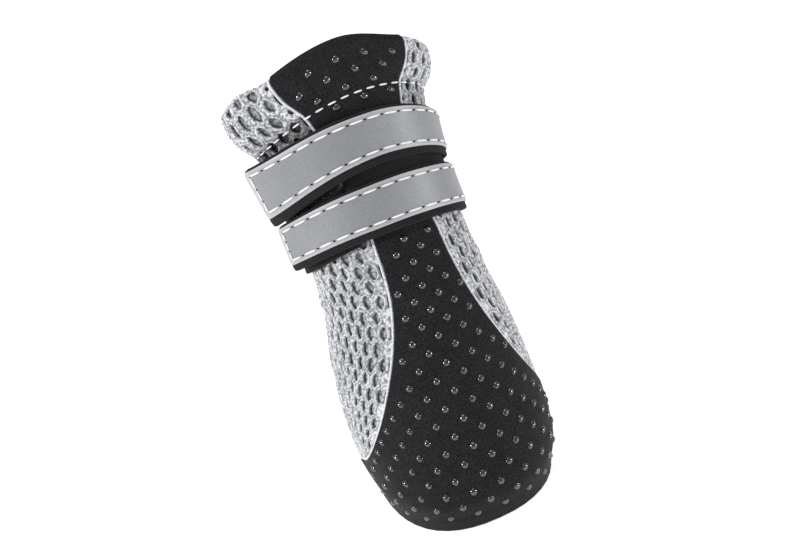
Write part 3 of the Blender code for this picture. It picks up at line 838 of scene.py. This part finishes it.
def lining_piece():
    """One closed wall all round, darker between the straps and the hem's stitches."""
    distances = np.linspace(LINING_START, LINING_END, LINING_ROWS)
    turns = np.linspace(-pi, pi, LINING_COLUMNS, endpoint=False)
    both, around = (values.ravel() for values in np.meshgrid(distances, turns, indexing="ij"))
    inner = LINING_IN + (LINING_OUT - LINING_IN - LINING_THIN) * ease(both, RIM - SOFT_EDGE, RIM)
    walls = [skin(both, around, offset) for offset in (LINING_OUT, inner)]
    ears = ease(both, HEM, HEM + 2 * MM)
    near = ease(both, *NEAR_STRAPS) * (1 - ears)
    tone = np.clip(PLAIN_TONE - NEAR_TONE * near - EAR_TONE * ears, 0.0, 1.0)
    size = LINING_ROWS * LINING_COLUMNS
    top = size - LINING_COLUMNS
    faces = grid_faces(LINING_ROWS, LINING_COLUMNS, closed=True)
    faces += [face[::-1] for face in grid_faces(LINING_ROWS, LINING_COLUMNS, closed=True, start=size)]
    for column in range(LINING_COLUMNS):
        after = (column + 1) % LINING_COLUMNS
        faces.append((size + column, size + after, after, column))
        faces.append((top + column, top + after, size + top + after, size + top + column))
    uv = np.stack([around * TURN_RADIUS, both], axis=-1) / MM
    new_piece("mesh_lining", np.concatenate(walls), faces, BACKING,
              uv=np.tile(uv, (2, 1)), tone=np.tile(tone, 2))


lining_piece()


# Front panel of dotted coated cloth

PANEL_ROUND = 0.30 * MM
PANEL_EDGE = 1.2 * PANEL_ROUND
PANEL_CORNER = (60, 25, 0)
PANEL_ROWS = 150
PANEL_ACROSS = 56
PANEL_END = RIM + FOLD_LENGTH + HEM_HEIGHT


def at_arc(distance, arc, offset):
    """A point on the cloth at an arc from the front centre."""
    return skin(distance, turn_at_arc(distance, arc), offset)


def panel_path():
    """Round the panel's cross-section: share of its half width, inset from its edge, offset."""
    shares = np.linspace(-1.0, 1.0, PANEL_ACROSS)
    corner = []
    for angle in PANEL_CORNER:
        corner.append((PANEL_EDGE * (1 - cos(radians(angle))),
                       PANEL_STAND - PANEL_ROUND * (1 - sin(radians(angle)))))
    path = [(share, PANEL_EDGE, PANEL_STAND) for share in shares]
    path += [(1.0, *place) for place in corner]
    path += [(share, 0.0, -TUCK) for share in shares[::-1]]
    path += [(-1.0, *place) for place in corner[::-1]]
    return np.array(path)


def panel_piece():
    path = panel_path()
    points, uv = [], []
    for distance in np.linspace(0.0, PANEL_END, PANEL_ROWS):
        arc = path[:, 0] * (seam_arc_at(distance) - path[:, 1])
        along_it = np.full_like(arc, distance)
        points.append(at_arc(along_it, arc, path[:, 2]))
        uv.append(np.stack([arc, along_it], axis=-1) / MM)
    new_piece("front_panel_cloth", np.concatenate(points), bar_faces(PANEL_ROWS, len(path)), PANEL,
              ("front_panel",), np.concatenate(uv))


panel_piece()


# Raised dots of the panel, staggered

DOT_ACROSS = 7.35 * MM
DOT_ALONG = 3.70 * MM
DOT_SIZE = 2.0 * MM
DOT_HEIGHT = 0.50 * MM
DOT_EDGE = 1.1 * MM
DOT_SIDES = 16
DOT_REACH = 6
DOT_START = 1.55 * MM
DOT_SHIFT = 2.2 * MM
HIDDEN_BELOW = 1.2 * MM
HIDDEN_ABOVE = 0.6 * MM
TOE_SPREAD = 0.06
INSTEP_CLOSING = 0.13
CLOSING = (35 * MM, 65 * MM)

# Shares of the dot's half size and height, from its foot to its top
DotRing = namedtuple("DotRing", "reach height")
DOT_PROFILE = (
    DotRing(1.00, -0.20),
    DotRing(0.98, 0.05),
    DotRing(0.90, 0.23),
    DotRing(0.75, 0.50),
    DotRing(0.55, 0.75),
    DotRing(0.35, 0.90),
    DotRing(0.15, 0.98),
)


def dot_centres():
    """Rows of dots, closer on the instep, none under the straps or on the fold."""
    centres = []
    row = 0
    distance = DOT_START
    while distance < PANEL_END - DOT_SIZE:
        under_straps = STRAP_START - HIDDEN_BELOW < distance < STRAPS_TOP + HIDDEN_ABOVE
        folded = RIM - DOT_SIZE / 2 < distance < RIM + FOLD_LENGTH + DOT_SIZE / 2
        on_instep = ease(distance, *CLOSING) * (1 - ease(distance, STRAP_START, STRAPS_TOP))
        closer = 1.0 - INSTEP_CLOSING * on_instep
        for step in range(-DOT_REACH, DOT_REACH + 1):
            arc = (step + 0.5 * (row % 2)) * DOT_ACROSS * (closer + TOE_SPREAD) + DOT_SHIFT
            if abs(arc) < seam_arc_at(distance) - DOT_EDGE and not (under_straps or folded):
                centres.append((distance, arc))
        distance += DOT_ALONG * closer
        row += 1
    return np.array(centres)


def dots_piece():
    centres = dot_centres()
    turns = np.linspace(0.0, 2 * pi, DOT_SIDES, endpoint=False)
    rings = []
    for ring in DOT_PROFILE:
        reach = DOT_SIZE / 2 * ring.reach
        distance = np.maximum(centres[:, :1] + reach * np.sin(turns), 0.0)
        arc = centres[:, 1:] + reach * np.cos(turns)
        points = at_arc(distance.ravel(), arc.ravel(), PANEL_STAND + DOT_HEIGHT * ring.height)
        rings.append(points.reshape(len(centres), DOT_SIDES, 3))
    tops = at_arc(*centres.T, PANEL_STAND + DOT_HEIGHT)
    size = len(DOT_PROFILE) * DOT_SIDES
    faces = []
    for index in range(len(centres)):
        start = index * size
        faces += grid_faces(len(DOT_PROFILE), DOT_SIDES, closed=True, start=start)
        last = start + size - DOT_SIDES
        for side in range(DOT_SIDES):
            faces.append((last + side, last + (side + 1) % DOT_SIDES, len(centres) * size + index))
    points = np.concatenate([np.stack(rings, axis=1).reshape(-1, 3), tops])
    new_piece("panel_dots", points, faces, DOT)


dots_piece()


# White rolled edge of the mesh beside the panel

ROLL_RADIUS = 0.42 * MM
ROLL_AWAY = 0.62 * MM
ROLL_SINK = 0.12 * MM
ROLL_START = 0.4 * MM
ROLL_SIDES = 10
ROLL_STEPS = 220
BACK_STEPS = 120
BACK_GAP = 3.5 * MM
PROBE = 0.5 * MM


def outwards(surface_at, distance, turn):
    """Directions straight out from a surface."""
    none = np.zeros(len(distance))
    return unit(surface_at(distance, turn, none + PROBE) - surface_at(distance, turn, none))


def roll(name, distance, turn):
    """One roll of yarn, sunk a little into the cloth."""
    path = skin(distance, turn, -ROLL_SINK)
    radii = np.full(len(distance), ROLL_RADIUS)
    tubes(f"mesh_edge_{name}", path[None], outwards(skin, distance, turn)[None], radii, ROLL_SIDES,
          EDGE, tone=1.0)


def roll_pieces():
    """Along both edges of the panel, and down the back seam except under the straps."""
    distance = np.linspace(ROLL_START, PANEL_END, ROLL_STEPS)
    turn = turn_at_arc(distance, seam_arc_at(distance) + ROLL_AWAY)
    roll("left", distance, -turn)
    roll("right", distance, turn)
    for name, first, last in (("back_low", ROLL_START, STRAP_START - BACK_GAP),
                              ("back_high", STRAPS_TOP - BACK_GAP / 2, PANEL_END)):
        distance = np.linspace(first, last, BACK_STEPS)
        roll(name, distance, np.full_like(distance, pi))


roll_pieces()


# Straps, loops and tapes, on the plain last

STRAP_END = -88.0
STRAP_ROOT = 178.0
LOOP_END = -30.0
LOOP_ROOT = -178.0
TAPE_ROOT = 150.0
ONTO_PANEL = (-26.0, 12.0)
OFF_PANEL = (36.0, 72.0)
LIFTING = (45.0, -STRAP_END)
SIDE_CLOSED = 80.0
SIDE_CLOSING = 0.5
LEFT_DROOPING = (20.0, -STRAP_END)
LEFT_DROOP = 0.093
RIGHT_DROOPING = (-10.0, SIDE_CLOSED)
RIGHT_DROOP = 0.17
LOOP_OVERHANG = 0.4 * MM
TAPE_THICKNESS = 0.5 * MM
TAPE_END = STRAP_END + 1.2
TAPE_LIFT = 0.02 * MM
CORNER = 1.4 * MM
BAND_STEPS = 8

# way is the strap's shift towards the other one, up or down the shaft, and end_fan how much
# wider it gets along the rows, which draw together at the side, as a share of its width
Fastening = namedtuple("Fastening", "name low end_lift way end_fan")
FASTENINGS = (
    Fastening("lower", STRAPS["lower"], 1.8 * MM, 1.0, 0.0),
    Fastening("upper", STRAPS["upper"], 2.8 * MM, -1.0, 0.50),
)


def strap_base(end_lift, turn, above=0.0):
    """How high a strap's underside lies over the last: over the loop, over the panel, then flat."""
    angle = np.degrees(turn)
    over_loop = LOOP_THICKNESS + 2 * CLEARANCE
    over_panel = PANEL_STAND + CLEARANCE
    across = ease(angle, *ONTO_PANEL)
    behind = ease(angle, *OFF_PANEL)
    lifted = end_lift * ease(-angle, *LIFTING)
    resting = over_loop + (over_panel - over_loop) * across + (CLEARANCE - over_panel) * behind
    return resting + lifted + above


def strap_closing(turn):
    """How far each strap moves towards the other: all the way at their free ends."""
    by_end = ease(-np.degrees(turn), 0.0, -STRAP_END)
    by_side = SIDE_CLOSING * ease(np.degrees(turn), 0.0, SIDE_CLOSED)
    return (STRAP_SPACING - CLEARANCE) / 2 * np.maximum(by_end, by_side)


def strap_droop(turn):
    """How far both straps hang lower towards their free ends and at the side."""
    by_end = LEFT_DROOP * ease(-np.degrees(turn), *LEFT_DROOPING)
    by_side = RIGHT_DROOP * ease(np.degrees(turn), *RIGHT_DROOPING)
    return STRAP_WIDTH * (by_end + by_side)


def strap_distance(fastening, distance, turn):
    """Where a row of the strap runs at a turn: it closes up, droops, and fans out at its end."""
    end = np.clip(np.degrees(turn) / STRAP_END, 0.0, 1.0) ** 1.5
    fan = fastening.end_fan * (distance - fastening.low) * end
    return distance + fan + fastening.way * strap_closing(turn) - strap_droop(turn)

def drooped(distance, turn):
    return distance - strap_droop(turn)


def band_skin(distance, turn, offset):
    """A point over the plain last, without the creases of the cloth."""
    point, out, _ = last_frames(np.asarray(distance, float), np.asarray(turn, float))
    return point + out * np.asarray(offset, float)[..., None]


def band_path(half_width, half_thickness, edge):
    """Round a band's cross-section: across and up, with rounded edges."""
    path = []
    for side, start in ((1, -90), (-1, 90)):
        for step in range(BAND_STEPS + 1):
            angle = radians(start + step * 180 / BAND_STEPS)
            path.append((side * (half_width - edge) + edge * cos(angle), half_thickness * sin(angle)))
        for step in range(1, BAND_STEPS):
            share = 1 - 2 * step / BAND_STEPS
            path.append((side * (half_width - edge) * share, side * half_thickness))
    return np.array(path)


# base is a band's height over the last by turn, and place its distance by row and turn
Band = namedtuple("Band", "low high thickness base place first last edge corner steps")


def band_piece(name, band, material, replaces=(), tone_at=None):
    """A flat band round the last, from one turn to another, its first end with round corners."""
    turns = np.radians(np.linspace(band.first, band.last, band.steps))
    half = (band.high - band.low) / 2
    middle = band.low + half
    path = band_path(half, band.thickness / 2, band.edge)
    path_run = run_along(path)
    points, tones, uv = [], [], []
    for turn, length in zip(turns, run_along(last_points(np.full_like(turns, middle), turns))):
        short = max(0.0, band.corner - length)
        inset = band.corner - (band.corner ** 2 - short ** 2) ** 0.5
        across = np.clip(path[:, 0], inset - half, half - inset)
        here = np.full_like(across, turn)
        offset = band.base(here) + band.thickness / 2 + path[:, 1]
        points.append(band_skin(band.place(middle + across, here), here, offset))
        uv.append(np.stack([path_run, np.full_like(path_run, length)], axis=-1) / MM)
        if tone_at:
            tones.append(tone_at(across, length))
    new_piece(name, np.concatenate(points), bar_faces(band.steps, len(path)), material, replaces,
              np.concatenate(uv), np.concatenate(tones) if tone_at else None)


STITCH_INSET = 1.35 * MM
END_STITCH = 2.6 * MM
INSET_FADE = (STITCH_INSET - 0.45 * MM, STITCH_INSET)
END_FADE = (END_STITCH - 1.0 * MM, END_STITCH - 0.4 * MM)


def tape_tone(across, length):
    """Paler outside the rows of stitches and at the free end."""
    edge = TAPE_WIDTH / 2 - np.abs(across)
    return np.maximum(1 - ease(edge, *INSET_FADE), 1 - ease(length, *END_FADE))


def tape_low(fastening):
    return fastening.low + STRAP_WIDTH - TAPE_BORDER - TAPE_WIDTH


def fastening_pieces():
    """Each strap over its loop band, with its tape."""
    to_other = (STRAP_SPACING - CLEARANCE) / 2
    for fastening in FASTENINGS:
        name, low, high = fastening.name, fastening.low, fastening.low + STRAP_WIDTH
        below, beyond = (LOOP_OVERHANG, to_other) if fastening.way > 0 else (to_other, LOOP_OVERHANG)
        place = partial(strap_distance, fastening)
        base = partial(strap_base, fastening.end_lift)
        tape_base = partial(base, above=STRAP_THICKNESS + TAPE_LIFT)
        flat = partial(np.full_like, fill_value=CLEARANCE)
        strap = Band(low, high, STRAP_THICKNESS, base, place,
                     STRAP_END, STRAP_ROOT, edge=0.55 * MM, corner=CORNER, steps=150)
        loop = Band(low - below, high + beyond, LOOP_THICKNESS, flat, drooped,
                    LOOP_END, LOOP_ROOT, edge=0.5 * MM, corner=CORNER, steps=90)
        tape = Band(tape_low(fastening), tape_low(fastening) + TAPE_WIDTH, TAPE_THICKNESS, tape_base, place,
                    TAPE_END, TAPE_ROOT, edge=0.2 * MM, corner=0.9 * MM, steps=170)
        band_piece(f"strap_{name}_webbing", strap, STRAP, (f"strap_{name}",))
        band_piece(f"loop_{name}_pile", loop, LOOP, (f"strap_loop_{name}",))
        band_piece(f"tape_{name}", tape, TAPE, (f"reflective_{name}",), tape_tone)


fastening_pieces()

WEB_FIRST = -29.0
WEB_LAST = 172.0
WEB_THICKNESS = 0.5 * MM
WEB_UNDER = 1.6 * MM
WEB_BASE = 0.1 * MM
WEB_OVER_PANEL = PANEL_STAND + 0.05 * MM
WEB_STEP = (22.0, 30.0)
BACK_WEB_BASE = 0.04 * MM
BACK_WEB_THICKNESS = 0.22 * MM
BACK_WEB_INSET = 0.8 * MM
BACK_WEB_REACH = 12.0


def web_base(turn):
    """How high the webbing lies: over the panel in front, and on the mesh beside it."""
    return WEB_BASE + WEB_OVER_PANEL * (1 - ease(np.abs(np.degrees(turn)), *WEB_STEP))


def strap_webs():
    """Thin black webbing on the mesh behind the slot between the straps, and behind their roots."""
    web = Band(STRAPS["lower"] + STRAP_WIDTH - WEB_UNDER, STRAPS["upper"] + WEB_UNDER, WEB_THICKNESS,
               web_base, drooped, WEB_FIRST, WEB_LAST, edge=0.2 * MM, corner=0.5 * MM, steps=60)
    band_piece("strap_web", web, STRAP)
    back = Band(STRAP_START + BACK_WEB_INSET, STRAPS_TOP - BACK_WEB_INSET, BACK_WEB_THICKNESS,
                partial(np.full_like, fill_value=BACK_WEB_BASE), drooped,
                180.0 - BACK_WEB_REACH, 180.0 + BACK_WEB_REACH, edge=0.1 * MM, corner=0.5 * MM, steps=20)
    band_piece("strap_back_web", back, STRAP)


strap_webs()


# Stitches: short capsules of white thread, with dark needle holes between those of the tapes

STITCH_POINTS = 8
STITCH_SIDES = 6
STITCH_RADIUS = 0.25 * MM
STITCH_ARCH = 0.10 * MM
STITCH_TAPER = 0.75
STITCH_LIFT = 0.06 * MM
STITCH_LAY = 0.8
NEEDLE_SIZE = 0.7 * MM
NEEDLE_WIDTH = 0.34
NEEDLE_LIFT = 0.015 * MM
NEEDLE_LAY = 0.12
NEEDLE_TIP = 0.92
STITCH_ON_PANEL = 0.1 * MM


def stitch_tubes(name, starts, ends, surface_at):
    """Stitches from each start to each end, both (distance, turn), lying on a surface."""
    share = np.linspace(0.0, 1.0, STITCH_POINTS)
    places = starts[:, None, :] * (1 - share)[None, :, None] + ends[:, None, :] * share[None, :, None]
    distance, turn = places.reshape(-1, 2).T
    arch = np.tile(np.sin(share * pi) ** 0.5 * STITCH_ARCH, len(starts))
    paths = surface_at(distance, turn, arch).reshape(len(starts), -1, 3)
    outs = outwards(surface_at, distance, turn).reshape(len(starts), -1, 3)
    radii = STITCH_RADIUS * (1 - np.abs(2 * share - 1) ** 4 * STITCH_TAPER)
    tubes(name, paths, outs, radii, STITCH_SIDES, THREAD, STITCH_LAY)


def needle_holes(name, places, surface_at):
    """Small dark ovals at places (distance, turn), just proud of a surface."""
    distance, turn = places.T
    middle = surface_at(distance, turn, np.full(len(places), NEEDLE_LIFT))
    outs = outwards(surface_at, distance, turn)
    ways = unit(np.cross(np.array([0.0, 0.0, 1.0]), outs))
    share = np.linspace(-1.0, 1.0, STITCH_SIDES)
    paths = middle[:, None, :] + ways[:, None, :] * (share * NEEDLE_SIZE / 2)[None, :, None]
    radii = NEEDLE_SIZE * NEEDLE_WIDTH * np.sqrt(1 - (share * NEEDLE_TIP) ** 2)
    tubes(name, paths, np.repeat(outs[:, None, :], len(share), axis=1), radii, STITCH_SIDES,
          NEEDLE_HOLE, NEEDLE_LAY)


TAPE_STITCH = 4.4 * MM
TAPE_DASH = 3.2 * MM
RING_SAMPLES = 400
END_STITCHES = 3
END_GAP = 0.2 * MM
END_REST = 0.6 * MM


def turns_every(distance, first_turn, last_turn, pitch):
    """Turns at equal steps of arc along a ring."""
    turns = np.radians(np.linspace(first_turn, last_turn, RING_SAMPLES))
    run = run_along(last_points(np.full_like(turns, distance), turns))
    return np.interp(np.arange(0.0, run[-1], pitch), run, turns)


def on_tape(fastening, distance, turn, height):
    """A point over a tape's face."""
    base = strap_base(fastening.end_lift, turn, STRAP_THICKNESS + TAPE_LIFT + TAPE_THICKNESS + STITCH_LIFT)
    return band_skin(strap_distance(fastening, distance, turn), turn, base + height)


def tape_stitches():
    """Rows along both edges of each tape, and one across its free end."""
    reach = TAPE_WIDTH / 2 - STITCH_INSET
    row_start = TAPE_END + degrees(END_STITCH / (COLLAR_WIDTH / 2))
    dash = TAPE_DASH / TAPE_STITCH
    step = 2 * reach / END_STITCHES
    for fastening in FASTENINGS:
        middle = tape_low(fastening) + TAPE_WIDTH / 2
        starts, ends, holes = [], [], []
        for side in (-1, 1):
            distance = middle + side * reach
            marks = turns_every(distance, row_start, TAPE_ROOT, TAPE_STITCH)
            for first, second in zip(marks[:-1], marks[1:]):
                starts.append((distance, first))
                ends.append((distance, first + (second - first) * dash))
                holes.append((distance, first + (second - first) * (1 + dash) / 2))
        for index in range(END_STITCHES):
            low = middle - reach + index * step
            starts.append((low + END_GAP, radians(row_start)))
            ends.append((low + step - END_REST, radians(row_start)))
            holes.append((low + step - END_GAP, radians(row_start)))
        surface_at = partial(on_tape, fastening)
        stitch_tubes(f"tape_stitches_{fastening.name}", np.array(starts), np.array(ends), surface_at)
        needle_holes(f"tape_needle_holes_{fastening.name}", np.array(holes), surface_at)


tape_stitches()

HEM_PITCH = 3.6 * MM
HEM_DASH = 2.3 * MM


def hem_surface(distance, turn, height):
    """Over the panel's face in front, over the mesh elsewhere."""
    on_panel = np.abs(turn) < seam_turns(distance)
    return skin(distance, turn, np.where(on_panel, PANEL_STAND + STITCH_ON_PANEL, CROWN) + height)


def hem_stitches():
    marks = turns_every(HEM, -180.0, 180.0, HEM_PITCH)
    dash_ends = marks[:-1] + np.diff(marks) * HEM_DASH / HEM_PITCH
    starts = np.stack([np.full_like(dash_ends, HEM), marks[:-1]], axis=-1)
    ends = np.stack([np.full_like(dash_ends, HEM), dash_ends], axis=-1)
    stitch_tubes("hem_stitches", starts, ends, hem_surface)


hem_stitches()


# Rubber sole and insole keep their solids

for sole_node, sole_material in (("outsole", RUBBER), ("insole", INSOLE)):
    sole_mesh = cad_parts[sole_node].data
    sole_mesh.materials.clear()
    sole_mesh.materials.append(sole_material)


# Floor, light and camera

WHITE = (1.0, 1.0, 1.0, 1.0)
FLOOR_COLOUR = (0.50, 0.50, 0.505, 1.0)
FLOOR_GLOW = 0.86
FLOOR_REACH = 3.0
WORLD_LIGHT = 0.37


def floor():
    look = Look("floor_white", Roughness=0.9, Specular_IOR_Level=0.0, Base_Color=FLOOR_COLOUR,
                Emission_Color=WHITE, Emission_Strength=FLOOR_GLOW)
    corners = ((-1, -1), (1, -1), (1, 1), (-1, 1))
    mesh = bpy.data.meshes.new("floor")
    mesh.from_pydata([(x * FLOOR_REACH, y * FLOOR_REACH, 0) for x, y in corners], [], [(0, 1, 2, 3)])
    mesh.materials.append(look.material)
    plane = bpy.data.objects.new("floor", mesh)
    bpy.context.scene.collection.objects.link(plane)


floor()

Softbox = namedtuple("Softbox", "name place size power")
SOFTBOXES = (
    Softbox("key", (-0.88, -0.10, 0.45), 0.12, 5.6),
    Softbox("fill", (0.82, -0.62, 0.22), 0.10, 3.6),
    Softbox("top", (0.0, 0.15, 1.0), 0.60, 3.0),
)
BOOT_MIDDLE = Vector((0.0, 0.012, 0.060))


def lights():
    for box in SOFTBOXES:
        light = bpy.data.lights.new(box.name, "AREA")
        light.size = box.size
        light.energy = box.power
        lamp = bpy.data.objects.new(box.name, light)
        lamp.location = box.place
        lamp.rotation_euler = (BOOT_MIDDLE - Vector(box.place)).to_track_quat("-Z", "Y").to_euler()
        bpy.context.scene.collection.objects.link(lamp)
    world = bpy.data.worlds.new("studio")
    world.use_nodes = True
    background = world.node_tree.nodes["Background"]
    background.inputs["Color"].default_value = WHITE
    background.inputs["Strength"].default_value = WORLD_LIGHT
    bpy.context.scene.world = world
    bpy.context.scene.view_settings.view_transform = "Standard"


lights()

CAMERA_YAW = -17.1
CAMERA_RISE = 25.0
CAMERA_ROLL = -15.1
CAMERA_AWAY = 0.62
CAMERA_LENS = 106.0
SENSOR_WIDTH = 36.0
NEAREST = 0.01
LOOK_AT = Vector((-0.0018, 0.0105, 0.0557))


def camera():
    """The photo's angle to the boot, rolled as there."""
    yaw, rise = radians(CAMERA_YAW), radians(CAMERA_RISE)
    back = Vector((sin(yaw) * cos(rise), -cos(yaw) * cos(rise), sin(rise)))
    data = bpy.data.cameras.new("camera")
    data.lens = CAMERA_LENS
    data.sensor_width = SENSOR_WIDTH
    data.clip_start = NEAREST
    eye = bpy.data.objects.new("camera", data)
    turned = (-back).to_track_quat("-Z", "Y").to_matrix().to_4x4()
    eye.matrix_world = (Matrix.Translation(LOOK_AT + back * CAMERA_AWAY) @ turned
                        @ Matrix.Rotation(radians(CAMERA_ROLL), 4, "Z"))
    bpy.context.scene.collection.objects.link(eye)
    bpy.context.scene.camera = eye


camera()
